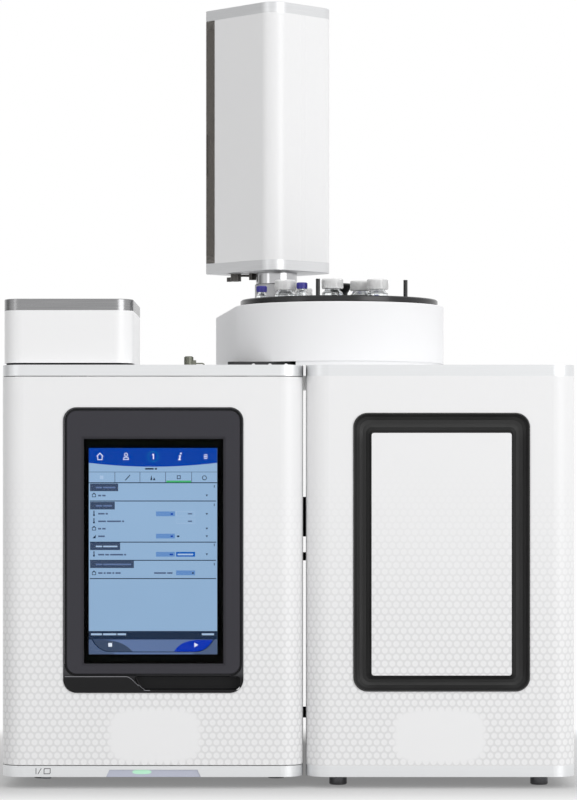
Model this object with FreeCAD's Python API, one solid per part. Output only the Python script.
"""Gas chromatograph with a mass spectrometer beside it and a liquid autosampler on its lid.

Millimetres, +Z up, fronts facing -Y, +X to the viewer's right. The origin is on the bench
under the middle of the footprint. Each function below makes one piece of the object.
"""
import FreeCAD, Part

import os
from math import acos, atan2, cos, hypot, pi, radians, sin

V = FreeCAD.Vector
Y_AXIS = V(0, 1, 0)
Z_AXIS = V(0, 0, 1)

# Both cabinets
overall_depth = 600.0
foot_height = 12.0
cabinet_height = 435.0
cabinet_gap = 3.0
corner_radius = 24.0
band_height = 11.7
band_wall = 3.0
floor_sheet = 2.5
deck_sheet = 3.0
lip = 1.0
seam = 0.8
running = 0.05
clearance = 0.3
foot_radius = 9.5
foot_edge = 1.0
foot_groove = (3.0, 2.0)
vent_pitch = 9.0
vent_slot = 3.5

# Gas chromatograph cabinet and its door
gc_width = 319.0
gc_depth = 560.0
panel_sheet = 2.0
door_depth = 48.0
door_sheet = 2.5
pan_sheet = 1.5
door_seam = 3.0
knuckle_radius = 6.0
pin_radius = 3.0
pin_grip = 8.0
gc_foot_inset = (34.5, 29.0)
gc_foot_back = (115.0, 500.0)

# Mass spectrometer cabinet
ms_width = 285.0
ms_depth = 592.0
ms_sheet = 2.5
ms_foot_inset = (34.5, 35.5)
ms_foot_back = (45.0, 545.0)

# Display in the door, as margins from the cabinet's two sides, and from the bench and the deck
frame_sides = (65.8, 63.1)
frame_ends = (100.8, 44.9)
frame_radius = 14.2
frame_depth = 15.0
frame_lip = 1.3
groove = 2.4
pocket_depth = 6.0
bezel_ends = (120.7, 48.6)
bezel_lip = 0.5
bezel_edge = 0.6
glass_sides = (87.4, 84.2)
glass_ends = (131.5, 78.2)
glass_mouth = 2.1
glass_seat = 2.0
glass_sheet = 3.0
glass_recess = 1.2
display_border = 4.3
display_top_border = 9.7
display_depth = 7.0
scoop_sides = (138.7, 66.7)
scoop_z = (103.9, 118.3)
scoop_depth = 12.0
scoop_slant = 9.0
scoop_corner = 3.0
scoop_fillet = 2.0

# Oven
oven_side = 43.5
oven_ends = (85.0, 122.0)
oven_depth = 334.0
liner_sheet = 1.5
jacket_wall = 25.0
jacket_leg = 16.0
leg_margin = 10.0
plug_depth = 22.0
plug_gap = 3.0
gasket_sheet = 3.0
gasket_width = 7.0
fan_margin = 46.0
fan_width = 18.0
fan_blades = 12
fan_sheet = 1.2
fan_hub = 11.0
fan_off_wall = 8.0
shaft_radius = 4.0
shaft_gap = 3.0
motor_radius = 32.0
motor_length = 52.0
motor_flange = (6.0, 4.0)
motor_bell = (8.0, 8.0)
guard_margin = 12.0
guard_off_fan = 14.0
guard_sheet = 1.5
guard_hole = 44.0
guard_post = 3.0
guard_post_in = 6.0
heater_margin = 26.0
heater_wire = 3.2
heater_backs = (10.0, 20.0)
heater_rod = 2.5
heater_rod_length = 26.0
cage_margin = 36.0
cage_wire = 1.6
cage_bars = 8
cage_hanger = 4.0
cage_back = (173.0, 213.0)
coil_width = 22.0
coil_build = 4.0
column_tube = 0.9
column_bend = 12.0

# Openings and fittings of the cabinets
light_width = 100.0
light_height = 7.6
light_slant = 3.5
light_x = 161.0
light_recess = 0.8
button_x = 46.0
button_back = 26.0
button_radius = 5.5
button_travel = 2.0
button_rest = 1.0
button_roof = 2.0
button_sleeve = 3.0
button_collar = 1.5
button_stand = 4.0
button_edge = 0.8
transfer_back = 239.0
transfer_drop = 163.5
transfer_radius = 8.0
transfer_reach = 14.0
transfer_nose = (3.5, 18.0)
boot_radius = 22.5
boot_lap = 2.5
bumper_back = 90.0
bumpers = ((4.5, 242.5), (6.0, 73.5))
flap_x = (50.0, 134.0)
flap_z = (92.0, 142.0)
flap_sheet = 1.6
flap_pin = 1.2
flap_lap = 4.0
flap_standoff = 0.6
flap_knuckle = 2.5
flap_axis_off = (3.4, 2.6)
flap_ear = (4.0, 3.0)
duct_margin = 8.0
duct_wall = 2.0
inlet_z = (40.0, 68.0)
inlet_width = 48.0
gc_inlet_in = 40.0
ms_inlet_in = 47.0
inlet_depth = 22.0
inlet_flange = 2.0
inlet_lap = 3.0
inlet_rim = (8.0, 6.0)
inlet_floor = 4.0
inlet_blades = ((-7.0, -1.5), (0.0, 2.5), (7.0, -1.5))
inlet_blade_half = (1.0, 2.0)
inlet_blade_short = 5.0
gc_vent_rows = 9
gc_vent_drop = 90.3
gc_vent_side = (20.0, 120.0)
ms_vent_rows = 12
ms_vent_drop = 135.3
ms_vent_side = 60.0
port_left = 190.0
port_pitch = 22.0
port_count = 4
port_height = 250.0
port_radius = 5.2
port_depth = 16.0
port_nut = (7.4, 8.0)
port_stub = (3.2, 12.0)
board_sides = (189.0, 20.0)
board_z = (90.0, 235.0)
board_off = 28.0
board_sheet = 1.6
board_post = (3.0, 8.0)
transformer = (12.0, 40.0, 38.0, 26.0)
relays = (14.0, 26.0, 70.0, 16.0)
module_x = (60.0, 190.0)
module_back = (319.0, 389.0)
module_height = 26.0
valve_radius = 9.0
valve_height = 24.0
valve_row = (18.0, 31.0, 4)
purge_from_left = 195.0
purge_back = 100.0
purge_foot = (5.4, 3.0)
purge_head = (4.6, 12.0)
purge_block = (3.0, 8.0, 8.5)
purge_tube = (0.8, 2.5)
purge_reach = 17.0
foreline_in = 70.0
foreline_drop = 95.0
foreline_pipe = 8.0
foreline_flange = 14.0
foreline_hole = 11.0
foreline_bend = 30.0
pump_back = 290.0

# Detector cover on the lid
cover_x = (1.2, 138.5)
cover_back = (10.0, 190.0)
cover_radius = 20.0
cover_gap = 2.4
cover_height = 70.3
cover_cap = 12.2
cover_wall = 3.0
cover_hinge_up = 21.0
cover_hinge_in = 9.5
cover_pin = 2.0
cover_ear = 4.5
ear_sheet = 4.0
cover_boss_x = (4.4, 13.4)
cover_slot_over = 1.5
detector_rise = 44.0
detector_step = 12.0
detector_neck = 9.0
detector_arm = (4.0, 30.0, 34.0)
detector_igniter = (3.0, 24.0, 24.0)
roof_spigot = (6.0, 3.0)

# Sampler housing and carousel
carousel_out = 41.1
carousel_back = 200.0
housing_radius = 117.0
housing_rise = 7.5
housing_height = 64.5
housing_rear = 440.0
housing_rear_out = (-104.0, 44.5)
housing_edge = 1.5
passage_gap = 2.6
skirt_inset = 1.5
skirt_wall = 4.0
mount_front = 110.0
mount_rear = 20.0
mount_in = (22.0, 8.0)
mount_corner = 8.0
housing_corner = 16.0
well_radius = 108.5
well_floor = 9.5
disc_radius = 110.4
disc_sheet = 6.0
disc_gap = 1.0
tray_radius = 104.0
tray_sheet = 3.0
tray_gap = 7.0
hub_radius = 14.0
spindle_radius = 6.0
knob_radius = 15.0
knob_height = 19.0
knob_waist = (3.0, 6.0, 4.0, 9.0)
post_radius = 2.3
post_height = 19.0
post_offsets = ((-24.5, -88.5), (72.0, -66.0))
motor_plate = 30.0
motor_sunk = 6.0
motor_proud = 2.0
spindle_end = 12.0
disc_edge = 1.2
vial_ring = 88.0
large_radius = 11.5
large_neck = 8.3
large_angles = (227.0, 264.4, 297.8, 117.8)
inner_vial = (55.0, 295.0)
small_radius = 5.8
small_neck = 3.8
small_angles = (190.5, 241.6, 75.0, 61.6)
socket_wall = 1.8
socket_floor = 2.0
small_well = 18.0
glass_wall = 1.2
large_cap_height = 11.0
small_cap_height = 6.8
cap_sheet = 1.4
cap_edge = 0.7
large_cap_hole = 4.5
small_cap_hole = 2.2
large_rise = 98.0
small_rise = 94.5

# Tower and syringe
column_in = 29.5
column_back = 318.0
column_radius = 25.0
column_stage = 32.0
spigot_radius = 12.0
neck_step = 1.0
tower_turn = 134.0
tower_long = 117.0
tower_wide = 100.5
tower_corner = 20.0
tower_small_corner = 4.0
tower_axis_off = 15.8
tower_axis_across = 5.4
tower_rise = 118.0
tower_height = 307.0
cap_height = 12.2
shell_wall = 3.0
window_depth = 17.0
window_wall = 2.5
window_knuckle = 10.0
window_side = 1.0
window_pin = 2.0
window_pin_reach = 5.0
window_block = 9.5
window_slot = (8.0, 3.0, 1.4, 48.0)
window_slot_share = 0.36
needle_reach = 50.5
needle_bearing = 25.5
needle_radius = 0.5
needle_length = 74.0
needle_rise = 113.0
needle_travel = 76.0
barrel_radius = 3.2
barrel_length = 62.0
barrel_flange = (2.5, 2.0)
barrel_hole = 0.8
plunger_radius = 1.0
plunger_out = 14.0
plunger_button = (4.0, 3.0)
driver_height = 9.0
guide_rod = 3.0
carriage_height = 28.0
carriage_rise = 24.0
rail_x = -8.3
rail_beside = (14.0, 10.0)
rail_plate_off = (14.0, 10.0)
rail_plate_y = (-18.6, 41.4)
rail_tie = (5.0, 3.0)
block_off = (6.0, 8.0)
block_side = 7.0
arm_half = 8.0
arm_drop = 6.0
arm_corner = 4.0
guide_radius = 6.2
guide_height = 8.4
guide_arm = (4.0, 13.0, 2.5, 5.0)
guide_stay = (1.3, 5.0, 19.0, 8.0, 2.2)
guide_bracket = (22.0, 17.0, 11.0, 5.0, 1.0)
injector_radius = 14.0
nut_radius = 9.0
injector_rise = 67.0
nut_height = 14.0
nut_edge = 1.2
nut_neck = (7.0, 3.0)
injector_collar = (4.0, 6.0)
needle_bore = 2.0
lid_hole = 1.0

# Mass spectrometer front and inside
trough_sides = (49.8, 48.7)
trough_ends = (102.2, 50.8)
trough_radius = 15.2
trough_side = 19.4
trough_top = 21.2
trough_bottom = 16.9
trough_depth = 12.0
trough_back = 16.0
trough_steps = 5
panel_plate = 2.0
plate_radius = 2.5
manifold_sides = (41.5, 83.5)
manifold_back = (150.0, 420.0)
manifold_drop = 112.0
manifold_height = 130.0
manifold_wall = 10.0
pump_radius = 56.0
pump_length = 120.0
pump_flange = (8.0, 9.0)
pump_ribs = 4
pump_rib = (4.0, 4.0)
pump_rib_pitch = 14.0
pump_rib_drop = 22.0
pump_neck = (14.0, 30.0, 22.0)
rod_radius = 6.0
rod_offset = 8.6
rod_length = 135.0
stand_width = 14.0
stand_sheet = 12.0
source_half = 24.0
source_span = (22.0, 8.0)
source_off = (20.0, 15.0)
ring_hole = 7.0
ring_width = 12.0
ring_places = (18.0, 30.0)
ring_foot = (8.0, 20.0)
multiplier = (20.0, 22.0)

# Places worked out from the sizes above
total_width = gc_width + cabinet_gap + ms_width
gc_x = (-total_width / 2, -total_width / 2 + gc_width)
ms_x = (total_width / 2 - ms_width, total_width / 2)
front = -overall_depth / 2 + lip
gc_y = (front, front + gc_depth)
ms_y = (front, front + ms_depth)
cabinet_z = (foot_height, foot_height + cabinet_height)
wall_z = (cabinet_z[0] + band_height, cabinet_z[1] - band_height)
door_z = (wall_z[0] + seam, wall_z[1] - seam)
door_y = (front, front + door_depth)
floor_top = cabinet_z[0] + floor_sheet
deck = cabinet_z[1]
hinge_xy = (gc_x[0] + knuckle_radius, door_y[1] - knuckle_radius)
chassis_front = door_y[1] + door_seam
transfer_y = front + transfer_back
transfer_z = deck - transfer_drop


def along_gc(span):
    """A span measured from the left side of the gas chromatograph."""
    return (gc_x[0] + span[0], gc_x[0] + span[1])


def within(span, margins):
    """A span inside another one, from its margin at each end."""
    return (span[0] + margins[0], span[1] - margins[1])


def inset(span, by):
    """A span drawn in at both ends, or let out where the amount is negative."""
    return (span[0] + by, span[1] - by)


def middle(span):
    return (span[0] + span[1]) / 2


frame_x = within(gc_x, frame_sides)
frame_z = within((0.0, deck), frame_ends)
bezel_z = within((0.0, deck), bezel_ends)
glass_x = within(gc_x, glass_sides)
glass_z = within((0.0, deck), glass_ends)
scoop_x = within(gc_x, scoop_sides)
trough_x = within(ms_x, trough_sides)
trough_z = within((0.0, deck), trough_ends)
button_xy = (gc_x[0] + button_x, front + button_back)
button_seat = floor_top + button_rest
button_ceiling = button_seat + button_travel + button_roof
gc_inlet_x = (gc_x[1] - gc_inlet_in - inlet_width, gc_x[1] - gc_inlet_in)
ms_inlet_x = (ms_x[1] - ms_inlet_in - inlet_width, ms_x[1] - ms_inlet_in)
purge_xy = (gc_x[0] + purge_from_left, front + purge_back)
foreline_x = ms_x[0] + foreline_in
manifold_x = within(ms_x, manifold_sides)
manifold_top = deck - manifold_drop
manifold_z = (manifold_top - manifold_height, manifold_top)
foreline_z = manifold_z[0] - foreline_drop
pump_xy = (middle(manifold_x), front + pump_back)
panel_seat_y = door_y[1] - gasket_sheet - pan_sheet
glass_y = (front - bezel_lip + glass_recess, front - bezel_lip + glass_recess + glass_sheet)
oven_box_x = inset(gc_x, oven_side)
oven_box_y = (chassis_front, chassis_front + oven_depth)
oven_z = within((0.0, deck), oven_ends)
oven_axis = (middle(oven_box_x), middle(oven_z))
oven_half = min(oven_box_x[1] - oven_box_x[0], oven_z[1] - oven_z[0]) / 2
fan_radius = oven_half - fan_margin
heater_radius = oven_half - heater_margin
guard_half = oven_half - guard_margin
cage_radius = oven_half - cage_margin
cage_y = (chassis_front + cage_back[0], chassis_front + cage_back[1])
jacket_x = inset(oven_box_x, -liner_sheet - jacket_wall)
jacket_z = inset(oven_z, -liner_sheet - jacket_wall)
jacket_back = oven_box_y[1] + liner_sheet + jacket_wall
carousel_xy = (gc_x[1] + carousel_out, front + carousel_back)
column_xy = (gc_x[1] - column_in, front + column_back)
housing_rear_x = (gc_x[1] + housing_rear_out[0], gc_x[1] + housing_rear_out[1])
mount_x = (housing_rear_x[0] + mount_in[0], gc_x[1] - mount_in[1])
housing_z = (deck + housing_rise, deck + housing_rise + housing_height)
well_z = housing_z[0] + well_floor
disc_z = (housing_z[1] + disc_gap, housing_z[1] + disc_gap + disc_sheet)
tray_z = (well_z + tray_gap, well_z + tray_gap + tray_sheet)
small_floor = disc_z[1] - small_well
large_top = deck + large_rise
small_top = deck + small_rise
injector_top = deck + injector_rise
needle_local = (
    -tower_axis_off + needle_reach * cos(radians(needle_bearing)),
    tower_axis_across + needle_reach * sin(radians(needle_bearing)),
)
injector_xy = (
    column_xy[0] + needle_reach * cos(radians(tower_turn + needle_bearing)),
    column_xy[1] + needle_reach * sin(radians(tower_turn + needle_bearing)),
)
detector_xy = (middle(along_gc(cover_x)), front + middle(cover_back))
tower_half = (tower_long / 2, tower_wide / 2)
tower_z = (deck + tower_rise, deck + tower_rise + tower_height)
needle_tip = deck + needle_rise
window_face = tower_half[0] - window_depth
window_axis = (window_face + clearance + window_knuckle,
               -tower_half[1] + window_side + window_knuckle)
shell_z = (tower_z[0] + cap_height, tower_z[1] - cap_height)
rail_y = (needle_local[1] - rail_beside[0], needle_local[1] + rail_beside[1])
carriage_low = needle_tip + needle_length + carriage_rise
carriage_z = (carriage_low, carriage_low + carriage_height)
cover_hinge = (front + cover_back[1] - cover_hinge_in, deck + cover_hinge_up)


def box(x, y, z):
    """A block from its three spans."""
    return Part.makeBox(x[1] - x[0], y[1] - y[0], z[1] - z[0], V(x[0], y[0], z[0]))


def round_edges(shape, axis, radius, keep=lambda middle_point: True):
    """The shape with its straight edges along an axis rounded."""
    chosen = []
    for edge in shape.Edges:
        if not isinstance(edge.Curve, Part.Line):
            continue
        way = edge.tangentAt(edge.FirstParameter)
        if abs(way.dot(axis)) > 0.999 and keep(edge.CenterOfMass):
            chosen.append(edge)
    return shape.makeFillet(radius, chosen)


def slab(x, y, z, radius, axis=Z_AXIS):
    """A block with its four edges along one axis rounded."""
    return round_edges(box(x, y, z), axis, radius)


def disc(radius, xy, z):
    """An upright cylinder."""
    return Part.makeCylinder(radius, z[1] - z[0], V(xy[0], xy[1], z[0]))


def bar(radius, start, end):
    """A round bar between two points."""
    start, end = V(*start), V(*end)
    return Part.makeCylinder(radius, (end - start).Length, start, end - start)


def joined(first, *others):
    """One solid from touching shapes, without the seams between them."""
    return first.fuse(list(others)).removeSplitter()


def cut(shape, *tools):
    return shape.cut(list(tools))


def turned(profile, xy, z=0.0):
    """A solid of revolution about an upright axis, from (radius, height) points."""
    points = [V(r, 0, h) for r, h in profile]
    face = Part.Face(Part.makePolygon(points + points[:1]))
    solid = face.revolve(V(0, 0, 0), Z_AXIS, 360)
    solid.translate(V(xy[0], xy[1], z))
    return solid


def prism(points, direction):
    """An outline given as points, pushed along a direction."""
    corners = [V(*p) for p in points]
    return Part.Face(Part.makePolygon(corners + corners[:1])).extrude(direction)


def bent_tube(points, bend, radius):
    """A round tube along straight runs joined by tangent arcs."""
    points = [V(*p) for p in points]
    edges = []
    here = points[0]
    for before, corner, after in zip(points, points[1:], points[2:]):
        back = (before - corner).normalize()
        on = (after - corner).normalize()
        half = acos(max(-1.0, min(1.0, back.dot(on)))) / 2
        reach = bend * cos(half) / sin(half)
        start = corner + back * reach
        end = corner + on * reach
        centre = corner + (back + on).normalize() * (bend / sin(half))
        mid = centre + (corner - centre).normalize() * bend
        edges.append(Part.LineSegment(here, start).toShape())
        edges.append(Part.Arc(start, mid, end).toShape())
        here = end
    edges.append(Part.LineSegment(here, points[-1]).toShape())
    path = Part.Wire(edges)
    ring = Part.Wire(Part.makeCircle(radius, points[0], points[1] - points[0]))
    return path.makePipeShell([ring], True, False)


def hull_ring(x, y, z, wall):
    """The upright wall of a cabinet with rounded corners."""
    outer = slab(x, y, z, corner_radius)
    inner = slab(inset(x, wall), inset(y, wall), inset(z, -1), corner_radius - wall)
    return outer.cut(inner)


def gc_base():
    """Floor pan with the silver band round it, the light's notch and the power button's sleeve."""
    z = (cabinet_z[0], wall_z[0])
    floor = slab(gc_x, gc_y, (z[0], floor_top), corner_radius)
    knuckle = disc(knuckle_radius, hinge_xy, z)
    sleeve = disc(button_radius + button_sleeve, button_xy, (z[0], button_ceiling))
    shape = joined(floor, hull_ring(gc_x, gc_y, z, band_wall), knuckle, sleeve)
    bore = disc(button_radius + clearance, button_xy, inset(z, -1))
    collar = disc(button_radius + button_collar + clearance, button_xy, (button_seat, z[1] + 1))
    pin = disc(pin_radius, hinge_xy, (wall_z[0] - pin_grip, z[1] + 1))
    return cut(shape, light_outline(0.0), bore, collar, pin)


def light_outline(recess):
    """The trapezoid bar of the status light, from its recess to the back of the band."""
    left = gc_x[0] + light_x - light_width / 2
    right = left + light_width
    low = cabinet_z[0]
    high = low + light_height
    y = front + recess
    corners = [(left, y, low), (left + light_slant, y, high)]
    corners += [(right - light_slant, y, high), (right, y, low)]
    return prism(corners, V(0, band_wall - recess, 0))


def status_light():
    return light_outline(light_recess)


def power_button():
    """Round button that is pushed up from below the front edge."""
    foot = cabinet_z[0] - button_stand
    stem = disc(button_radius, button_xy, (foot, button_seat + clearance))
    edge = [e for e in stem.Edges if e.Closed and e.CenterOfMass.z < foot + 0.1]
    stem = stem.makeChamfer(button_edge, edge)
    collar_z = (button_seat + clearance, button_seat + clearance + button_collar)
    return joined(stem, disc(button_radius + button_collar, button_xy, collar_z))


def levelling_feet():
    """Four turned feet under each cabinet, each with its flange against the floor."""
    feet = []
    low, deep = foot_groove
    neck = foot_radius - deep
    profile = [(0, 0), (foot_radius - foot_edge, 0), (foot_radius, foot_edge),
               (foot_radius, foot_height - low - foot_edge), (neck, foot_height - low),
               (neck, foot_height), (0, foot_height)]
    for span, insets, backs in ((gc_x, gc_foot_inset, gc_foot_back),
                                (ms_x, ms_foot_inset, ms_foot_back)):
        for x in within(span, insets):
            for back in backs:
                feet.append(turned(profile, (x, front + back)))
    return Part.makeCompound(feet)


def gc_top_lid():
    """Lid with the silver band, deck holes, and the ears and pins that carry the detector cover."""
    z = (wall_z[1], cabinet_z[1])
    plate = slab(gc_x, gc_y, (deck - deck_sheet, deck), corner_radius)
    knuckle = disc(knuckle_radius, hinge_xy, z)
    shape = joined(plate, hull_ring(gc_x, gc_y, z, band_wall), knuckle)
    holes = [disc(injector_radius + lid_hole, injector_xy, inset(z, -1)),
             disc(injector_radius + lid_hole, detector_xy, inset(z, -1)),
             disc(pin_radius, hinge_xy, (z[0] - 1, wall_z[1] + pin_grip))]
    return joined(cut(shape, *holes), *cover_ears())


def ear_spans():
    """The two widths that the ears of the detector cover's hinge take up."""
    spans = []
    for side, way in zip(along_gc(cover_x), (1, -1)):
        near = side + way * (cover_boss_x[1] + clearance)
        spans.append(tuple(sorted((near, near + way * ear_sheet))))
    return spans


def cover_ears():
    """Upright ears with pins that point outwards into the detector cover's bosses."""
    y, z = cover_hinge
    ears = []
    for ear_x, side, way in zip(ear_spans(), along_gc(cover_x), (1, -1)):
        near = side + way * (cover_boss_x[1] + clearance)
        ears.append(box(ear_x, (y - cover_ear, y + cover_ear), (deck, z)))
        ears.append(bar(cover_ear, (ear_x[0], y, z), (ear_x[1], y, z)))
        ears.append(bar(cover_pin, (side + way * (cover_boss_x[0] + 2.0), y, z), (near, y, z)))
    return ears


def gc_side_panels():
    """Left and right covers, each folded round its rear corner, the right one holed for the line."""
    walls = hull_ring(gc_x, gc_y, wall_z, panel_sheet)
    hole = bar(boot_radius - boot_lap, (gc_x[1] - 10, transfer_y, transfer_z),
               (gc_x[1] + 1, transfer_y, transfer_z))
    panels = []
    for span in ((gc_x[0], gc_x[0] + corner_radius), (gc_x[1] - corner_radius, gc_x[1])):
        panels.append(walls.common(box(span, (chassis_front, gc_y[1]), wall_z)).cut(hole))
    return Part.makeCompound(panels)


def gc_rear_panel():
    """Flat back between the side panels, with vents, the exhaust outlet and the ears of its flap."""
    x = inset(gc_x, corner_radius)
    y = (gc_y[1] - panel_sheet, gc_y[1])
    plate = box(x, y, wall_z)
    through = inset(y, -1)
    tools = [box(inset(along_gc(flap_x), flap_lap), through, inset(flap_z, flap_lap))]
    tools += [bar(port_radius, (px, through[0], pz), (px, through[1], pz)) for px, pz in gas_ports()]
    tools.append(box(inset(gc_inlet_x, inlet_lap), through, inset(inlet_z, inlet_lap)))
    near, far = gc_vent_side
    for row in range(gc_vent_rows):
        low = wall_z[1] - gc_vent_drop + vent_pitch * row
        for vent_x in ((x[0] + near, x[0] + far), (x[1] - far, x[1] - near)):
            tools.append(box(vent_x, through, (low, low + vent_slot)))
    ears = []
    axis_y, axis_z = flap_axis()
    for side, way in zip(along_gc(flap_x), (-1, 1)):
        ear = sorted((side + way * clearance, side + way * (clearance + flap_ear[0])))
        ears.append(box(ear, (y[1], axis_y + flap_ear[1]), inset((axis_z, axis_z), -flap_ear[1])))
    reach = inset(along_gc(flap_x), -clearance)
    ears.append(bar(flap_pin, (reach[0], axis_y, axis_z), (reach[1], axis_y, axis_z)))
    return joined(cut(plate, *tools), *ears)


def flap_axis():
    """Where the exhaust flap's pin runs, as depth and height."""
    return (gc_y[1] + flap_axis_off[0], flap_z[1] + flap_axis_off[1])


def exhaust_flap():
    """Folded flap with a rolled knuckle along its top edge."""
    x = along_gc(flap_x)
    axis_y, axis_z = flap_axis()
    near = gc_y[1] + flap_standoff
    plate = box(x, (near, near + flap_sheet), (flap_z[0], axis_z))
    knuckle = bar(flap_knuckle, (x[0], axis_y, axis_z), (x[1], axis_y, axis_z))
    bore = bar(flap_pin + running, (x[0] - 1, axis_y, axis_z), (x[1] + 1, axis_y, axis_z))
    return joined(plate, knuckle).cut(bore)


def gas_ports():
    """Places of the gas fittings on the back, as x and z."""
    left = gc_x[0] + port_left
    return [(left + port_pitch * i, port_height) for i in range(port_count)]


def gas_fittings():
    """Bulkhead fittings with a hexagon nut outside and a stub of tube."""
    fittings = []
    back = gc_y[1]
    for px, pz in gas_ports():
        nut_end = back + port_nut[1]
        body = bar(port_radius, (px, back - port_depth, pz), (px, nut_end, pz))
        corners = [(px + port_nut[0] * cos(pi * k / 3), back, pz + port_nut[0] * sin(pi * k / 3))
                   for k in range(6)]
        nut = prism(corners, V(0, port_nut[1], 0))
        stub = bar(port_stub[0], (px, nut_end, pz), (px, nut_end + port_stub[1], pz))
        fittings.append(joined(body, nut, stub))
    return Part.makeCompound(fittings)


def mains_inlet(x, back):
    """Appliance inlet: flange outside, moulded well and its three blades."""
    flange = slab(x, (back, back + inlet_flange), inlet_z, inlet_lap, Y_AXIS)
    body = box(inset(x, inlet_lap), (back - inlet_depth, back), inset(inlet_z, inlet_lap))
    floor = back - inlet_depth + inlet_floor
    well = box(inset(x, inlet_rim[0]), (floor, back + inlet_flange + 1), inset(inlet_z, inlet_rim[1]))
    shape = cut(joined(flange, body), well)
    blades = []
    half_x, half_z = inlet_blade_half
    for step, rise in inlet_blades:
        bx = middle(x) + step
        bz = middle(inlet_z) + rise
        blades.append(box(inset((bx, bx), -half_x), (floor, back - inlet_blade_short),
                          inset((bz, bz), -half_z)))
    return joined(shape, *blades)


def mains_inlets():
    return Part.makeCompound([mains_inlet(gc_inlet_x, gc_y[1]), mains_inlet(ms_inlet_x, ms_y[1])])


def oven_liner():
    """Welded steel box of the oven with the wide flange behind the door."""
    outer = box(inset(oven_box_x, -liner_sheet), (oven_box_y[0], oven_box_y[1] + liner_sheet),
                inset(oven_z, -liner_sheet))
    flange = box(inset(gc_x, panel_sheet), (chassis_front, chassis_front + liner_sheet), wall_z)
    hollow = box(oven_box_x, (oven_box_y[0] - 1, oven_box_y[1]), oven_z)
    shape = cut(joined(outer, flange), hollow)
    shaft = bar(shaft_radius + shaft_gap, (oven_axis[0], oven_box_y[1] - 1, oven_axis[1]),
                (oven_axis[0], oven_box_y[1] + 5, oven_axis[1]))
    line = bar(transfer_radius + clearance, (oven_box_x[1] - 5, transfer_y, transfer_z),
               (oven_box_x[1] + 5, transfer_y, transfer_z))
    duct = box(*duct_spans(oven_box_y[1] - 1, oven_box_y[1] + 5))
    top = (oven_z[1] - 1, oven_z[1] + 5)
    return cut(shape, shaft, line, duct, disc(injector_radius + clearance, injector_xy, top),
               disc(injector_radius + clearance, detector_xy, top))


def duct_spans(start, end):
    """The exhaust duct's clear section between two depths."""
    return inset(along_gc(flap_x), duct_margin), (start, end), inset(flap_z, duct_margin)


def oven_jacket():
    """Insulated jacket round the liner, on legs, with the exhaust duct to the back."""
    y = (chassis_front + liner_sheet, jacket_back)
    shell = box(jacket_x, y, jacket_z)
    hollow = box(inset(oven_box_x, -liner_sheet), (y[0] - 1, oven_box_y[1] + liner_sheet),
                 inset(oven_z, -liner_sheet))
    legs = []
    for lx in (jacket_x[0], jacket_x[1] - jacket_leg):
        for ly in (y[0] + leg_margin, y[1] - leg_margin - jacket_leg):
            legs.append(box((lx, lx + jacket_leg), (ly, ly + jacket_leg), (floor_top, jacket_z[0])))
    duct_x, duct_y, duct_z = duct_spans(y[1], gc_y[1] - panel_sheet)
    duct = box(inset(duct_x, -duct_wall), duct_y, inset(duct_z, -duct_wall))
    bore = box(*duct_spans(oven_box_y[1], gc_y[1]))
    shape = cut(joined(shell.cut(hollow), duct, *legs), bore)
    shaft = bar(shaft_radius + shaft_gap, (oven_axis[0], oven_box_y[1], oven_axis[1]),
                (oven_axis[0], jacket_back + 1, oven_axis[1]))
    line = bar(transfer_radius + clearance, (oven_box_x[1] - 5, transfer_y, transfer_z),
               (jacket_x[1] + 1, transfer_y, transfer_z))
    top = (oven_z[1] - 1, jacket_z[1] + 1)
    return cut(shape, shaft, line, disc(injector_radius + clearance, injector_xy, top),
               disc(injector_radius + clearance, detector_xy, top))


def fan_motor():
    """Motor on the back of the jacket with the bearing nose that carries the fan's shaft."""
    x, z = oven_axis
    start = jacket_back
    body = bar(motor_radius, (x, start, z), (x, start + motor_length, z))
    end = start + motor_length
    bell = bar(motor_radius - motor_bell[0], (x, end, z), (x, end + motor_bell[1], z))
    half = motor_radius + motor_flange[0]
    flange = box(inset((x, x), -half), (start, start + motor_flange[1]), inset((z, z), -half))
    bore = bar(shaft_radius + running, (x, start - 1, z), (x, end - motor_flange[0], z))
    return joined(body, bell, flange).cut(bore)


def oven_fan():
    """Radial fan: back plate, straight blades, hub and the shaft into the motor."""
    x, z = oven_axis
    rear = oven_box_y[1] - fan_off_wall
    fore = rear - fan_width
    plate = bar(fan_radius, (x, rear - fan_sheet, z), (x, rear, z))
    hub = bar(fan_hub, (x, fore, z), (x, rear, z))
    shaft = bar(shaft_radius, (x, rear, z), (x, jacket_back + motor_length - fan_off_wall, z))
    blades = []
    for k in range(fan_blades):
        blade = box((x + fan_hub - 2, x + fan_radius - 2), (fore, rear),
                    inset((z, z), -fan_sheet / 2))
        blade.rotate(V(x, 0, z), Y_AXIS, 360.0 * k / fan_blades)
        blades.append(blade)
    return joined(plate, hub, shaft, *blades)


def fan_guard():
    """Baffle in front of the fan, on four posts from the back wall, with its intake hole."""
    x, z = oven_axis
    y = oven_box_y[1] - fan_off_wall - fan_width - guard_off_fan
    plate = box(inset((x, x), -guard_half), (y, y + guard_sheet), inset((z, z), -guard_half))
    hole = bar(guard_hole, (x, y - 1, z), (x, y + guard_sheet + 1, z))
    reach = guard_half - guard_post_in
    posts = [bar(guard_post, (px, y + guard_sheet, pz), (px, oven_box_y[1], pz))
             for px in (x - reach, x + reach) for pz in (z - reach, z + reach)]
    return joined(plate.cut(hole), *posts)


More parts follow.
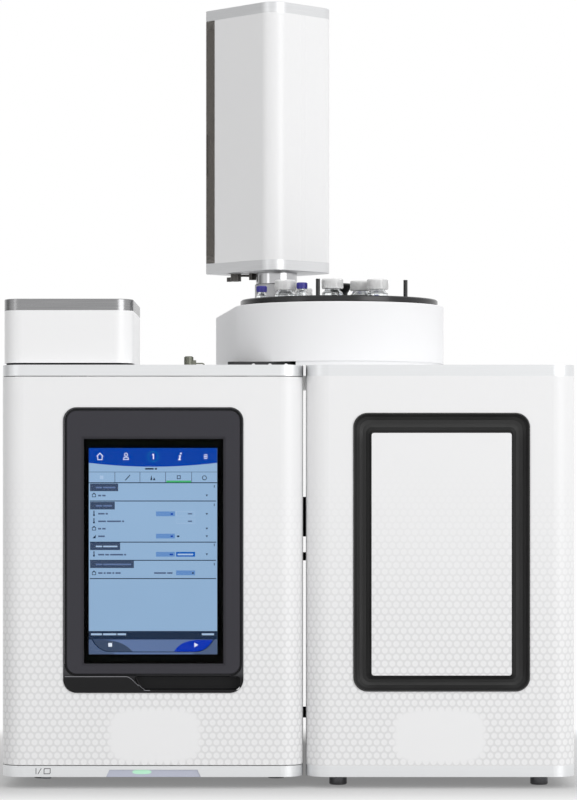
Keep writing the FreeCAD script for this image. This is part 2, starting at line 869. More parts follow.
def oven_heater():
    """Two turns of heater ribbon round the fan, on four ceramic rods from the back wall."""
    x, z = oven_axis
    turns = []
    for back in heater_backs:
        y = (oven_box_y[1] - back - heater_wire, oven_box_y[1] - back)
        turn = bar(heater_radius, (x, y[0], z), (x, y[1], z))
        hollow = bar(heater_radius - heater_wire, (x, y[0] - 1, z), (x, y[1] + 1, z))
        turns.append(turn.cut(hollow))
    rods = []
    for k in range(4):
        angle = pi / 4 + k * pi / 2
        reach = heater_radius - heater_wire / 2
        px, pz = x + reach * cos(angle), z + reach * sin(angle)
        rods.append(bar(heater_rod, (px, oven_box_y[1] - heater_rod_length, pz),
                        (px, oven_box_y[1], pz)))
    return joined(turns[0], turns[1], *rods)


def column_cage():
    """Cage of two flat hoops and cross bars that the column is wound on, hung from the roof."""
    x, z = oven_axis
    hoops = []
    for y in cage_y:
        hoop = bar(cage_radius, (x, y - cage_wire, z), (x, y + cage_wire, z))
        hoops.append(hoop.cut(bar(cage_radius - 2 * cage_wire, (x, y - 3, z), (x, y + 3, z))))
    bars = []
    for k in range(cage_bars):
        angle = pi * (2 * k + 1) / cage_bars
        reach = cage_radius - cage_wire
        px, pz = x + reach * cos(angle), z + reach * sin(angle)
        bars.append(bar(cage_wire * 0.9, (px, cage_y[0], pz), (px, cage_y[1], pz)))
    for y in cage_y:
        bars.append(box(inset((x, x), -cage_hanger), inset((y, y), -cage_wire),
                        (z + cage_radius - cage_wire, oven_z[1])))
    return joined(hoops[0], hoops[1], *bars)


def capillary_column():
    """The wound column with its two free ends, to the injector and to the transfer line."""
    x, z = oven_axis
    inner = cage_radius + clearance
    outer = inner + coil_build
    y0 = middle(cage_y) - coil_width / 2
    wound = Part.makeCylinder(outer, coil_width, V(x, y0, z), Y_AXIS)
    wound = wound.cut(Part.makeCylinder(inner, coil_width, V(x, y0, z), Y_AXIS))
    lead = (inner + outer) / 2
    y1 = y0 + coil_width - 3
    up = bent_tube([(x + lead, y1, z), (x + lead, y1, z + 60), injector_end((y1, z + 60)),
                    (injector_xy[0], injector_xy[1], oven_z[1] - roof_spigot[1])], column_bend,
                   column_tube)
    side = bent_tube([(x + lead - 1, y0 + 4, z), (x + lead - 1, y0 + 4, transfer_z - 34),
                      (oven_box_x[1] - 34, transfer_y, transfer_z),
                      (oven_box_x[1] - transfer_reach, transfer_y, transfer_z)], 9.0, column_tube)
    return joined(wound, up, side)


def injector_end(start):
    """The bend under the injector, level with where the column's end leaves the coil."""
    return (injector_xy[0], injector_xy[1], start[1] + 10)


def injector():
    """Heated inlet: body through the oven's roof and the lid, with its septum nut on top."""
    nut_z = (injector_top - nut_height, injector_top)
    spigot, drop = roof_spigot
    collar, shoulder = injector_collar
    neck, gap = nut_neck
    bore = disc(needle_bore, injector_xy, (oven_z[1] - drop - 1, injector_top + 1))
    body = turned([(0, oven_z[1] - drop), (spigot, oven_z[1] - drop), (spigot, oven_z[1]),
                   (injector_radius, oven_z[1]), (injector_radius, deck + collar),
                   (nut_radius, deck + shoulder), (nut_radius, nut_z[0] - gap),
                   (neck, nut_z[0] - gap), (neck, nut_z[0]), (0, nut_z[0])], injector_xy)
    nut = disc(nut_radius, injector_xy, nut_z)
    edge = [e for e in nut.Edges if e.Closed and e.CenterOfMass.z > nut_z[1] - 1]
    nut = nut.makeChamfer(nut_edge, edge)
    return Part.makeCompound([body.cut(bore), nut.cut(bore)])


def flame_detector():
    """Detector block through the lid with its flame tower and the collector's side arm."""
    x, y = detector_xy
    top = deck + detector_rise
    spigot, drop = roof_spigot
    step = deck + detector_step
    body = turned([(0, oven_z[1] - drop), (spigot, oven_z[1] - drop), (spigot, oven_z[1]),
                   (injector_radius, oven_z[1]), (injector_radius, step),
                   (detector_neck, step + 2), (detector_neck, top), (detector_neck - 2, top + 3),
                   (0, top + 3)], detector_xy)
    radius, rise, reach = detector_arm
    arm = bar(radius, (x, y, deck + rise), (x + reach, y, deck + rise))
    radius, rise, reach = detector_igniter
    igniter = bar(radius, (x, y, deck + rise), (x, y + reach, deck + rise))
    return joined(body, arm, igniter)


def purge_fitting():
    """Small valve on the lid: knurled head, side block and the thin tube over to the deck."""
    x, y = purge_xy
    foot, foot_top = purge_foot
    radius, top = purge_head
    edge = foot - radius
    head = turned([(0, 0), (foot, 0), (foot, foot_top), (radius, foot_top + edge), (radius, top),
                   (radius - edge, top + edge), (0, top + edge)], (x, y), deck)
    near, far, height = purge_block
    block = box((x + near, x + far), (y - near, y + near), (deck, deck + height))
    tube_radius, bend = purge_tube
    up = deck + 2 * bend
    end = x + purge_reach
    tube = bent_tube([(x + far - 1, y, up), (end, y, up), (end, y, deck)], bend, tube_radius)
    return joined(head, block, tube)


def main_board():
    """Main circuit board on stand-offs from the back, with its transformer and relays."""
    x = within(gc_x, board_sides)
    y = gc_y[1] - panel_sheet - board_off
    z = board_z
    plate = box(x, (y, y + board_sheet), z)
    post, post_in = board_post
    posts = [bar(post, (px, y + board_sheet, pz), (px, gc_y[1] - panel_sheet, pz))
             for px in inset(x, post_in) for pz in inset(z, post_in)]
    edge, width, height, depth = transformer
    coil = box((x[0] + edge, x[0] + edge + width), (y - depth, y), (z[0] + edge, z[0] + edge + height))
    edge, side, rise, depth = relays
    bank = box((x[1] - edge - side, x[1] - edge), (y - depth, y), (z[0] + rise, z[0] + rise + side))
    return joined(plate, coil, bank, *posts)


def gas_control_module():
    """Pneumatics manifold on top of the jacket, with its row of proportional valves."""
    x = along_gc(module_x)
    y = (front + module_back[0], front + module_back[1])
    z = (jacket_z[1], jacket_z[1] + module_height)
    start, pitch, count = valve_row
    valves = [disc(valve_radius, (x[0] + start + pitch * i, middle(y)), (z[1], z[1] + valve_height))
              for i in range(count)]
    return joined(box(x, y, z), *valves)


def hinge_pins():
    """Lower and upper pin of the oven door, gripped by the base and the lid."""
    low = disc(pin_radius, hinge_xy, (wall_z[0] - pin_grip, door_z[0] + pin_grip))
    high = disc(pin_radius, hinge_xy, (door_z[1] - pin_grip, wall_z[1] + pin_grip))
    return Part.makeCompound([low, high])


def door_outline(z, wall=0.0):
    """The front stretch of the cabinet's outline that the door takes up, drawn in by a wall."""
    whole = slab(inset(gc_x, wall), (gc_y[0] + wall, gc_y[1]), z, corner_radius - wall)
    return whole.common(box(inset(gc_x, -1), (front - 1, door_y[1]), z))


def door_skin():
    """White front of the oven door, open behind, with the hinge barrel down its left edge."""
    outer = door_outline(door_z)
    square = box((gc_x[0] - 1, hinge_xy[0]), (hinge_xy[1], door_y[1] + 1), inset(door_z, -1))
    barrel = disc(knuckle_radius, hinge_xy, door_z)
    outer = joined(outer.cut(square), barrel)
    inside_x = (hinge_xy[0] + knuckle_radius, gc_x[1] - door_sheet)
    deep = box(inside_x, (front + door_sheet + 20, door_y[1] + 1), inset(door_z, door_sheet))
    hollow = door_outline(inset(door_z, door_sheet), door_sheet)
    hollow = hollow.common(box(inset(gc_x, 0), (front, hinge_xy[1] - knuckle_radius - 1), door_z))
    opening = slab(inset(frame_x, frame_lip), (front - 1, front + 10),
                   inset(frame_z, frame_lip), frame_radius - frame_lip, Y_AXIS)
    pins = [disc(pin_radius + running, hinge_xy, (door_z[0] - 1, door_z[0] + pin_grip + 1)),
            disc(pin_radius + running, hinge_xy, (door_z[1] - pin_grip - 1, door_z[1] + 1))]
    return cut(outer, deep, hollow, opening, *pins)


def door_inner_panel():
    """Pan that closes the back of the door, with the insulated plug that enters the oven."""
    x = (hinge_xy[0] + knuckle_radius, gc_x[1] - door_sheet)
    pan = box(x, (panel_seat_y, panel_seat_y + pan_sheet), inset(door_z, door_sheet))
    plug_z = inset(oven_z, plug_gap)
    plug = box(inset(oven_box_x, plug_gap), (panel_seat_y, chassis_front + plug_depth), plug_z)
    return joined(pan, round_edges(plug, Y_AXIS, 4.0))


def door_gasket():
    """Woven seal round the plug, pressed by the flange of the liner."""
    y = (panel_seat_y + pan_sheet, chassis_front - clearance)
    outer = slab(inset(oven_box_x, -gasket_width), y, inset(oven_z, -gasket_width), 8.0, Y_AXIS)
    return outer.cut(box(inset(oven_box_x, 0.5), inset(y, -1), inset(oven_z, 0.5)))


def display_frame():
    """Black moulding round the display, with its raised lip, bare name strip and finger scoop."""
    x = frame_x
    flange = slab(x, (front - lip, front), frame_z, frame_radius, Y_AXIS)
    body = slab(inset(x, frame_lip), (front, front + frame_depth), inset(frame_z, frame_lip),
                frame_radius - frame_lip, Y_AXIS)
    pocket = slab(inset(x, frame_lip), (front - lip - 1, front - lip + pocket_depth),
                  (bezel_z[0] - groove, frame_z[1] - frame_lip), frame_radius - frame_lip, Y_AXIS)
    window = box(inset(glass_x, glass_seat), (front, front + frame_depth + 1),
                 inset(glass_z, glass_seat))
    return cut(joined(flange, body), pocket, window, finger_scoop())


def finger_scoop():
    """Recess under the bezel for the fingers, slanted at its left end and rounded inside."""
    x = scoop_x
    y = (front - lip - 1, front - lip + scoop_depth)
    corners = [(x[0] + scoop_slant, y[0], scoop_z[0]), (x[1], y[0], scoop_z[0]),
               (x[1], y[0], scoop_z[1]), (x[0], y[0], scoop_z[1])]
    scoop = prism(corners, V(0, y[1] - y[0], 0))
    scoop = round_edges(scoop, Y_AXIS, scoop_corner)
    floor_edges = [e for e in scoop.Edges if e.CenterOfMass.y > y[1] - 0.01]
    return scoop.makeFillet(scoop_fillet, floor_edges)


def display_bezel():
    """Inner bezel with the opening for the glass, set in the frame with a groove round it."""
    x = inset(frame_x, frame_lip + groove)
    y = (front - bezel_lip, front - lip + pocket_depth)
    plate = slab(x, y, bezel_z, frame_radius - frame_lip - groove, Y_AXIS)
    rim = plate.makeChamfer(bezel_edge, [e for e in plate.Edges if e.CenterOfMass.y < y[0] + 0.01])
    mouth = slab(inset(glass_x, -glass_mouth), (y[0] - 1, y[0] + glass_recess),
                 inset(glass_z, -glass_mouth), glass_mouth, Y_AXIS)
    seat = box(glass_x, (y[0], y[1] + 1), glass_z)
    return cut(rim, mouth, seat)


def display_glass():
    return box(glass_x, glass_y, glass_z)


def display_screen():
    """The lit panel behind the cover glass."""
    x = inset(glass_x, display_border)
    z = (glass_z[0] + display_top_border, glass_z[1] - display_top_border)
    return box(x, (glass_y[1], glass_y[1] + display_depth), z)


def detector_cover():
    """White shell over the detectors, open below, with the bosses that turn on the lid's pins."""
    x = along_gc(cover_x)
    y = (front + cover_back[0], front + cover_back[1])
    z = (deck + cover_gap, deck + cover_height - cover_cap)
    outer = slab(x, y, z, cover_radius)
    hollow = slab(inset(x, cover_wall), inset(y, cover_wall), (z[0] - 1, z[1] - cover_wall),
                  cover_radius - cover_wall)
    axis_y, axis_z = cover_hinge
    slots = [box(inset(span, -1), (axis_y + cover_ear, y[1] + 1),
                 (z[0] - 1, axis_z + cover_ear + cover_slot_over)) for span in ear_spans()]
    bosses = []
    bores = []
    for side, way in zip(x, (1, -1)):
        ends = [side + way * reach for reach in cover_boss_x]
        bosses.append(bar(cover_ear, (ends[0], axis_y, axis_z), (ends[1], axis_y, axis_z)))
        bores.append(bar(cover_pin + running, (ends[0] + way * 1.6, axis_y, axis_z),
                         (ends[1] + way, axis_y, axis_z)))
    return cut(joined(outer.cut(hollow), *bosses), *bores, *slots)


def detector_cover_cap():
    """Silver cap on the detector cover."""
    x = along_gc(cover_x)
    y = (front + cover_back[0], front + cover_back[1])
    z = (deck + cover_height - cover_cap, deck + cover_height)
    cap = slab(x, y, z, cover_radius)
    return cap.makeFillet(1.0, [e for e in cap.Edges if e.CenterOfMass.z > z[1] - 0.01])


def tangent_point(point, centre, radius, side):
    """Where a line from a point touches a circle, on its left (+1) or right (-1) side."""
    gap = (point[0] - centre[0], point[1] - centre[1])
    angle = atan2(gap[1], gap[0]) + side * acos(radius / hypot(*gap))
    return (centre[0] + radius * cos(angle), centre[1] + radius * sin(angle))


def housing_block(grow, z):
    """The round front and tapered rear of the sampler housing, drawn in or out all round."""
    radius = housing_radius + grow
    rear = front + housing_rear + grow
    left = (housing_rear_x[0] - grow, rear)
    right = (housing_rear_x[1] + grow, rear)
    corners = [tangent_point(left, carousel_xy, radius, 1), left, right,
               tangent_point(right, carousel_xy, radius, -1)]
    tail = prism([(px, py, z[0]) for px, py in corners], V(0, 0, z[1] - z[0]))
    tail = round_edges(tail, Z_AXIS, housing_corner + grow, lambda p: p.y > rear - 1)
    return joined(tail, disc(radius, carousel_xy, z))


def sampler_mount():
    """Black plate between the lid and the sampler's housing."""
    y = (front + mount_front, front + housing_rear - mount_rear)
    plate = slab(mount_x, y, (deck, housing_z[0]), mount_corner)
    return plate.cut(disc(injector_radius + 2 * lid_hole, injector_xy, (deck - 1, housing_z[0] + 1)))


def housing_skirt():
    """The housing's wall carried down to the spectrometer's lid, beside the mount plate."""
    z = (deck, housing_z[0])
    wall = housing_block(-skirt_inset, z).cut(housing_block(-skirt_inset - skirt_wall, inset(z, -1)))
    beside = box((mount_x[1] + clearance, ms_x[1]), (front, ms_y[1]), z)
    return wall.common(beside)


def sampler_housing():
    """White moulding with the round well for the carousel and the passage over the injector."""
    shape = housing_block(0.0, housing_z)
    well = disc(well_radius, carousel_xy, (well_z, housing_z[1] + 1))
    passage = disc(nut_radius + passage_gap, injector_xy, inset(housing_z, -1))
    seat = disc(motor_plate, carousel_xy, (well_z - motor_sunk, well_z + 1))
    top = [e for e in shape.Edges if e.CenterOfMass.z > housing_z[1] - 0.01]
    shape = cut(shape.makeFillet(housing_edge, top), well, passage, seat)
    return joined(shape, housing_skirt())


def turntable_motor():
    """Flat motor in the floor of the well, with the spindle that the carousel turns on."""
    body_top = well_z + motor_proud
    body = disc(motor_plate, carousel_xy, (well_z - motor_sunk, body_top))
    spindle = disc(spindle_radius, carousel_xy, (body_top, disc_z[0] - spindle_end))
    return joined(body, spindle)


def tower_column():
    """Turned column on the housing: cast stage below, polished neck, and the pivot on top."""
    low = housing_z[1]
    neck = low + column_stage
    shoulder = tower_z[0] - clearance
    narrow = column_radius - neck_step
    end = tower_z[0] + cap_height - neck_step
    profile = [(0, low), (column_radius, low), (column_radius, neck), (narrow, neck + neck_step),
               (narrow, shoulder), (spigot_radius, shoulder), (spigot_radius, end), (0, end)]
    return turned(profile, column_xy)


def on_carousel(radius, angle):
    """A place on the carousel from its radius and its angle in degrees."""
    return (carousel_xy[0] + radius * cos(radians(angle)),
            carousel_xy[1] + radius * sin(radians(angle)))


def large_places():
    return [on_carousel(vial_ring, a) for a in large_angles] + [on_carousel(*inner_vial)]


def small_places():
    return [on_carousel(vial_ring, a) for a in small_angles]


def carousel_disc():
    """Black carousel: rim plate with its sockets, lower tray, hub, carrying knob and two posts."""
    rim = disc(disc_radius, carousel_xy, disc_z)
    edge = [e for e in rim.Edges if e.Closed and e.CenterOfMass.z > disc_z[1] - 0.1]
    rim = rim.makeChamfer(disc_edge, edge)
    hub = disc(hub_radius, carousel_xy, (tray_z[0], disc_z[0]))
    tray = disc(tray_radius, carousel_xy, tray_z)
    wells = [disc(small_radius + socket_wall, xy, (small_floor - socket_floor, disc_z[0]))
             for xy in small_places()]
    foot_in, waist_in, waist_low, waist_high = knob_waist
    knob = turned([(0, 0), (knob_radius - foot_in, 0), (knob_radius - waist_in, waist_low),
                   (knob_radius - waist_in + 1, waist_high), (knob_radius, knob_height - 2),
                   (knob_radius - 1, knob_height), (0, knob_height)], carousel_xy, disc_z[1])
    posts = [disc(post_radius, (carousel_xy[0] + px, carousel_xy[1] + py),
                  (disc_z[1] - 1, disc_z[1] + post_height)) for px, py in post_offsets]
    shape = joined(rim, hub, tray, knob, *wells, *posts)
    holes = [disc(large_radius + clearance, xy, (tray_z[1], disc_z[1] + 1))
             for xy in large_places()]
    holes += [disc(small_radius + clearance, xy, (small_floor, disc_z[1] + 1))
              for xy in small_places()]
    bore_top = disc_z[0] - spindle_end + clearance
    bore = disc(spindle_radius + running, carousel_xy, (tray_z[0] - 1, bore_top))
    return cut(shape, bore, *holes)


def vial(radius, neck, xy, foot, top, neck_drop):
    """A blown glass vial with a sloped shoulder and an open neck."""
    shoulder = top - neck_drop
    wall = glass_wall
    slope = radius - neck
    profile = [(0, foot), (radius, foot), (radius, shoulder - slope), (neck, shoulder),
               (neck, top), (neck - wall, top), (neck - wall, shoulder),
               (radius - wall, shoulder - slope - wall / 2), (radius - wall, foot + wall),
               (0, foot + wall)]
    return turned(profile, xy)


def sample_vials():
    """All the glass on the carousel: tall vials on the tray and small ones in their wells."""
    glass = [vial(large_radius, large_neck, xy, tray_z[1], large_top - cap_sheet,
                  large_cap_height) for xy in large_places()]
    glass += [vial(small_radius, small_neck, xy, small_floor, small_top - cap_sheet,
                   small_cap_height) for xy in small_places()]
    return Part.makeCompound(glass)


def vial_cap(radius, neck, xy, top, height, hole):
    """A crimp or screw cap, open over the middle of the septum."""
    cap = disc(radius, xy, (top - height, top))
    edge = [e for e in cap.Edges if e.Closed and e.CenterOfMass.z > top - 0.1]
    cap = cap.makeChamfer(cap_edge, edge)
    inside = disc(neck, xy, (top - height - 1, top - cap_sheet))
    return cut(cap, inside, disc(hole, xy, (top - 3, top + 1)))


def large_vial_caps():
    return Part.makeCompound([vial_cap(large_radius, large_neck, xy, large_top,
                                       large_cap_height, large_cap_hole)
                              for xy in large_places()])


def small_vial_caps():
    return Part.makeCompound([vial_cap(small_radius, small_neck, xy, small_top,
                                       small_cap_height, small_cap_hole)
                              for xy in small_places()])


def on_tower(shape):
    """Carries a shape from the tower's own axes, window towards +X, to its place."""
    shape = shape.copy()
    centre = V(column_xy[0], column_xy[1], 0)
    shape.translate(V(tower_axis_off, -tower_axis_across, 0))
    shape.rotate(V(0, 0, 0), Z_AXIS, tower_turn)
    shape.translate(centre)
    return shape


def tower_block(drop, z, front_x):
    """The tower's plan, large corners away from the window, drawn in by a wall."""
    shape = box((-tower_half[0] + drop, front_x), (-tower_half[1] + drop, tower_half[1] - drop), z)
    return round_edges(shape, Z_AXIS, tower_corner - drop, lambda p: p.x < 0)


def tower_cap(z, outer_edge_z):
    """A silver end cap with its outer edge slightly rounded."""
    cap = tower_block(0.0, z, tower_half[0])
    cap = round_edges(cap, Z_AXIS, tower_small_corner, lambda p: p.x > tower_half[0] - 1)
    return cap.makeFillet(0.8, [e for e in cap.Edges if abs(e.CenterOfMass.z - outer_edge_z) < 0.01])


def tower_base_cap():
    """Lower cap with the bore for the column's pivot and the hole for the syringe."""
    z = (tower_z[0], tower_z[0] + cap_height)
    pivot = disc(spigot_radius + running, (-tower_axis_off, tower_axis_across), inset(z, -1))
    syringe = disc(barrel_radius + barrel_hole, needle_local, inset(z, -1))
    pin = disc(window_pin, window_axis, (z[0] + 1, z[1] + window_pin_reach))
    return on_tower(joined(cut(tower_cap(z, z[0]), pivot, syringe), pin))


def tower_top_cap():
    """Upper cap with the upper pin of the window."""
    z = (tower_z[1] - cap_height, tower_z[1])
    pin = disc(window_pin, window_axis, (z[0] - window_pin_reach, z[1] - 1))
    return on_tower(joined(tower_cap(z, z[1]), pin))


def tower_shell():
    """White folded shell round three sides, open towards the window."""
    outer = tower_block(0.0, shell_z, window_face - clearance)
    hollow = tower_block(shell_wall, inset(shell_z, -1), window_face + 1)
    return on_tower(outer.cut(hollow))


def tower_rail():
    """Back plate and two ground rods between the caps, which carry the syringe."""
    far, near = rail_plate_off
    plate = box((rail_x - far, rail_x - near), rail_plate_y, shell_z)
    rods = [disc(guide_rod, (rail_x, y), shell_z) for y in rail_y]
    side, sheet = rail_tie
    ties = [box((rail_x - near - 1, rail_x), inset(rail_y, -side), z)
            for z in ((shell_z[0], shell_z[0] + sheet), (shell_z[1] - sheet, shell_z[1]))]
    return on_tower(joined(plate, *rods, *ties))


def needle_guide():
    """Dark guide under the lower cap with its silver-tipped arm and the stay beside it."""
    x, y = needle_local
    z = (tower_z[0] - guide_height, tower_z[0])
    block = disc(guide_radius, (x, y), z)
    near, far, half, high = guide_arm
    arm = box((x + near, x + far), (y - half, y + half), (z[0], z[0] + high))
    radius, start, end, aside, drop = guide_stay
    stay = bar(radius, (x - start, y, z[1] - drop), (x - end, y - aside, z[1] - drop))
    left, right, low, high, rise = guide_bracket
    bracket = box((x - left, x - right), (y - low, y - high), (z[0] + rise, z[1]))
    shape = joined(block, arm, stay, bracket)
    return on_tower(shape.cut(disc(barrel_radius + barrel_hole, (x, y), inset(z, -1))))


def tower_window():
    """Smoked cover over the syringe: a shallow tray hinged between two end blocks."""
    x = (window_face + clearance, tower_half[0])
    z = inset(shell_z, clearance)
    y = (-tower_half[1] + window_side, tower_half[1])
    outer = round_edges(box(x, y, z), Z_AXIS, tower_small_corner, lambda p: p.x > x[1] - 1)
    outer = round_edges(outer, Z_AXIS, window_knuckle - 0.01, lambda p: p.x < x[0] + 1 and p.y < 0)
    hollow = box((x[0] - 1, x[1] - window_wall), (y[0] + 2 * window_knuckle, y[1] - window_wall),
                 inset(z, window_block))
    reach = window_pin_reach + 1.0
    pins = [disc(window_pin + running, window_axis, (z[0] - 1, z[0] + reach)),
            disc(window_pin + running, window_axis, (z[1] - reach, z[1] + 1))]
    far, near, deep, length = window_slot
    low = z[0] + window_slot_share * (z[1] - z[0])
    slot = box((x[1] - far, x[1] - near), (y[1] - deep, y[1] + 1), (low, low + length))
    return on_tower(cut(outer, hollow, slot, *pins))


def syringe_carriage():
    """Block that slides on the rods and clamps the syringe."""
    x, y = needle_local
    back, fore = block_off
    block = box((rail_x - back, rail_x + fore), inset(rail_y, -block_side), carriage_z)
    arm = box((rail_x + fore, x + arm_half), (y - arm_half, y + arm_half),
              inset(carriage_z, arm_drop))
    arm = round_edges(arm, Z_AXIS, arm_corner, lambda p: p.x > x)
    bores = [disc(guide_rod + running, (rail_x, ry), inset(carriage_z, -1)) for ry in rail_y]
    grip = disc(barrel_radius, (x, y), inset(carriage_z, -1))
    return on_tower(cut(joined(block, arm), grip, *bores))


def syringe_barrel():
    """Glass barrel with its flange, hub and the steel needle below."""
    x, y = needle_local
    foot = needle_tip + needle_length
    top = foot + barrel_length
    out, sheet = barrel_flange
    bore = disc(plunger_radius + running, (x, y), (foot + barrel_radius, top + sheet + 1))
    barrel = joined(disc(barrel_radius, (x, y), (foot, top)),
                    disc(barrel_radius + out, (x, y), (top, top + sheet)),
                    disc(needle_radius, (x, y), (needle_tip, foot)))
    return on_tower(barrel.cut(bore))


def syringe_plunger():
    """Plunger wire, its button and the driver block that rides on the same rods."""
    x, y = needle_local
    foot = needle_tip + needle_length
    top = foot + barrel_length + plunger_out
    wire = disc(plunger_radius, (x, y), (foot + barrel_radius + clearance, top))
    radius, height = plunger_button
    button = disc(radius, (x, y), (top - height, top))
    driver_z = (top, top + driver_height)
    driver = box((rail_x - block_off[0], x + block_off[0]), inset(rail_y, -block_side), driver_z)
    bores = [disc(guide_rod + running, (rail_x, ry), inset(driver_z, -1)) for ry in rail_y]
    return on_tower(cut(joined(wire, button, driver), *bores))


def ms_base():
    """Floor pan of the mass spectrometer with the silver band round it."""
    z = (cabinet_z[0], wall_z[0])
    floor = slab(ms_x, ms_y, (z[0], floor_top), corner_radius)
    return joined(floor, hull_ring(ms_x, ms_y, z, band_wall))


def ms_top_lid():
    """Lid of the mass spectrometer with its silver band."""
    z = (wall_z[1], cabinet_z[1])
    plate = slab(ms_x, ms_y, (deck - deck_sheet, deck), corner_radius)
    return joined(plate, hull_ring(ms_x, ms_y, z, band_wall))


def ms_cover():
    """White cover round all four sides, with the front opening, the line's hole and back vents."""
    walls = hull_ring(ms_x, ms_y, wall_z, ms_sheet)
    x = trough_x
    opening = slab(inset(x, frame_lip), (front - 1, front + ms_sheet + 1),
                   inset(trough_z, frame_lip), trough_radius - frame_lip, Y_AXIS)
    hole = bar(boot_radius - boot_lap, (ms_x[0] - 1, transfer_y, transfer_z),
               (ms_x[0] + 5, transfer_y, transfer_z))
    back = (ms_y[1] - ms_sheet - 1, ms_y[1] + 1)
    tools = [opening, hole, box(inset(ms_inlet_x, inlet_lap), back, inset(inlet_z, inlet_lap))]
    tools.append(bar(foreline_hole, (foreline_x, back[0], foreline_z),
                     (foreline_x, back[1], foreline_z)))
    for row in range(ms_vent_rows):
        low = wall_z[1] - ms_vent_drop + vent_pitch * row
        tools.append(box(inset(ms_x, ms_vent_side), back, (low, low + vent_slot)))
    return cut(walls, *tools)


def ms_trim_frame():
    """Black moulding: a concave trough round the raised seat of the front panel."""
    x = trough_x
    flange = slab(x, (front - lip, front), trough_z, trough_radius, Y_AXIS)
    body = slab(inset(x, frame_lip), (front, front + trough_back), inset(trough_z, frame_lip),
                trough_radius - frame_lip, Y_AXIS)
    px, pz = plate_spans()
    outer, inner = [], []
    for step in range(trough_steps):
        angle = pi / 2 * step / (trough_steps - 1)
        y = front - lip + trough_depth * sin(angle)
        way = (1 - cos(angle)) / 2
        outer.append(trough_ring(way, y))
        inner.append(trough_ring(1 - way, y))
    trough = trough_plug(outer).cut(trough_plug(inner))
    seat = slab(px, (front - lip - 1, front - lip + panel_plate), pz, plate_radius, Y_AXIS)
    return cut(joined(flange, body), trough, seat)


def plate_spans():
    """The front panel's width and height, as spans."""
    x = trough_x
    return (x[0] + trough_side, x[1] - trough_side), (trough_z[0] + trough_bottom,
                                                      trough_z[1] - trough_top)


def trough_ring(way, y):
    """A rounded rectangle on the trough's wall: 0 at its outer edge, 1 at the panel's edge."""
    x0, z0 = inset(trough_x, frame_lip), inset(trough_z, frame_lip)
    px, pz = plate_spans()
    x = [a + way * (b - a) for a, b in zip(x0, px)]
    z = [a + way * (b - a) for a, b in zip(z0, pz)]
    radius = trough_radius - frame_lip + way * (plate_radius - trough_radius + frame_lip)
    plate = slab(x, (y, y + 1), z, radius, Y_AXIS)
    face = min(plate.Faces, key=lambda f: f.CenterOfMass.y)
    return face.OuterWire


def trough_plug(rings):
    """The solid inside a row of rings, from in front of the moulding down to the trough's floor."""
    mouth = Part.Face(rings[0]).extrude(V(0, -1, 0))
    return joined(Part.makeLoft(rings, True, True), mouth)


def ms_front_panel():
    """Flat white panel on the raised middle of the trough."""
    x, z = plate_spans()
    return slab(x, (front - lip, front - lip + panel_plate), z, plate_radius, Y_AXIS)


def vacuum_manifold():
    """Machined vacuum chamber on two stands, bored for the transfer line and the pump."""
    y = (front + manifold_back[0], front + manifold_back[1])
    block = box(manifold_x, y, manifold_z)
    hollow = box(inset(manifold_x, manifold_wall), inset(y, manifold_wall),
                 inset(manifold_z, manifold_wall))
    stands = []
    for span in ((y[0], y[0] + stand_sheet), (y[1] - stand_sheet, y[1])):
        frame = box(manifold_x, span, (floor_top, manifold_z[0]))
        window = box(inset(manifold_x, stand_width), inset(span, -1),
                     inset((floor_top, manifold_z[0]), stand_width))
        stands.append(frame.cut(window))
    line = bar(transfer_radius, (manifold_x[0] - 1, transfer_y, transfer_z),
               (manifold_x[0] + manifold_wall + 1, transfer_y, transfer_z))
    throat = disc(pump_radius - pump_neck[0], pump_xy,
                  (manifold_z[0] - 1, manifold_z[0] + manifold_wall + 1))
    return cut(joined(block, *stands), hollow, line, throat)


def turbo_pump():
    """Turbomolecular pump hung under the manifold, with cooling ribs and its foreline pipe."""
    top = manifold_z[0]
    low = top - pump_length
    out, sheet = pump_flange
    profile = [(0, top), (pump_radius + out, top), (pump_radius + out, top - sheet),
               (pump_radius, top - sheet)]
    out, sheet = pump_rib
    for rib in range(pump_ribs):
        z = top - pump_rib_drop - pump_rib_pitch * rib
        profile += [(pump_radius, z), (pump_radius + out, z), (pump_radius + out, z - sheet),
                    (pump_radius, z - sheet)]
    drawn_in, upper, lower = pump_neck
    profile += [(pump_radius, low + upper), (pump_radius - drawn_in, low + lower),
                (pump_radius - drawn_in, low), (0, low)]
    body = turned(profile, pump_xy)
    pipe = bent_tube([(pump_xy[0], pump_xy[1], foreline_z), (foreline_x, pump_xy[1], foreline_z),
                      (foreline_x, ms_y[1] + 4, foreline_z)], foreline_bend, foreline_pipe)
    flange = bar(foreline_flange, (foreline_x, ms_y[1], foreline_z),
                 (foreline_x, overall_depth / 2, foreline_z))
    return joined(body, pipe, flange)


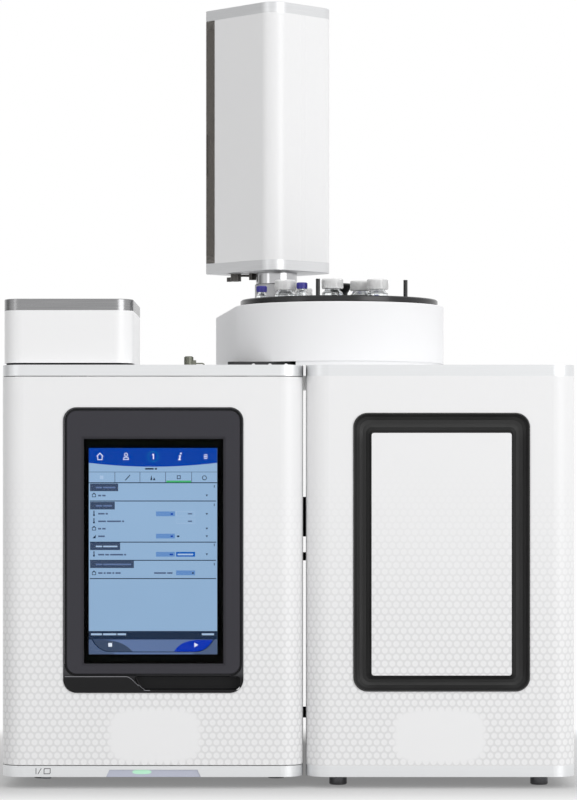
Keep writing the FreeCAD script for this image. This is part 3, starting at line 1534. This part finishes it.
def quadrupole():
    """Ion source, four quadrupole rods in two ceramic rings, and the detector behind them."""
    y0 = transfer_y
    x, z = middle(manifold_x) - source_off[0], transfer_z - source_off[1]
    start = y0 + source_span[1]
    end = start + rod_length
    source = box(inset((x, x), -source_half), (y0 - source_span[0], start),
                 inset((z, z), -source_half))
    rods = []
    for sx in (-1, 1):
        for sz in (-1, 1):
            rods.append(bar(rod_radius, (x + sx * rod_offset, start, z + sz * rod_offset),
                            (x + sx * rod_offset, end, z + sz * rod_offset)))
    rings = []
    for y in (start + ring_places[0], end - ring_places[1]):
        ring = bar(source_half, (x, y, z), (x, y + ring_width, z))
        rings.append(ring.cut(bar(ring_hole, (x, y - 1, z), (x, y + ring_width + 1, z))))
        rings.append(box(inset((x, x), -ring_foot[0]), (y, y + ring_width),
                         (manifold_z[0] + manifold_wall, z - ring_foot[1])))
    half, depth = multiplier
    detector = box(inset((x, x), -half), (end, end + depth), inset((z, z), -half))
    return joined(source, detector, *rods, *rings)


def transfer_line():
    """Heated line from the oven through both cabinet sides into the manifold."""
    start = oven_box_x[1] - transfer_reach
    end = manifold_x[0] + manifold_wall
    radius, length = transfer_nose
    line = bar(transfer_radius, (start, transfer_y, transfer_z), (end, transfer_y, transfer_z))
    nose = bar(radius, (end, transfer_y, transfer_z), (end + length, transfer_y, transfer_z))
    return joined(line, nose)


def cabinet_spacers():
    """Rubber boot round the transfer line and two bumpers, which fill the gap at their places."""
    gap = (gc_x[1], ms_x[0])
    boot = bar(boot_radius, (gap[0], transfer_y, transfer_z), (gap[1], transfer_y, transfer_z))
    hole = bar(transfer_radius, (gap[0] - 1, transfer_y, transfer_z),
               (gap[1] + 1, transfer_y, transfer_z))
    y = front + bumper_back
    stops = [bar(radius, (gap[0], y, z), (gap[1], y, z)) for radius, z in bumpers]
    return Part.makeCompound([boot.cut(hole)] + stops)


PIECES = (
    gc_base, gc_top_lid, gc_side_panels, gc_rear_panel, levelling_feet, oven_liner, oven_jacket,
    oven_heater, fan_guard, fan_motor, oven_fan, column_cage, capillary_column, injector,
    flame_detector, purge_fitting, main_board, gas_control_module, gas_fittings, mains_inlets,
    status_light, power_button, hinge_pins, exhaust_flap, door_skin, door_inner_panel,
    door_gasket, display_frame, display_bezel, display_glass, display_screen, detector_cover,
    detector_cover_cap, sampler_mount, sampler_housing, turntable_motor, tower_column,
    carousel_disc, sample_vials, large_vial_caps, small_vial_caps, tower_base_cap,
    tower_top_cap, tower_shell, tower_rail, needle_guide, tower_window, syringe_carriage,
    syringe_barrel, syringe_plunger, ms_base, ms_top_lid, ms_cover, ms_trim_frame,
    ms_front_panel, vacuum_manifold, turbo_pump, quadrupole, transfer_line, cabinet_spacers,
)

os.makedirs("parts", exist_ok=True)
for piece in PIECES:
    piece().exportStep(f"parts/{piece.__name__}.step")
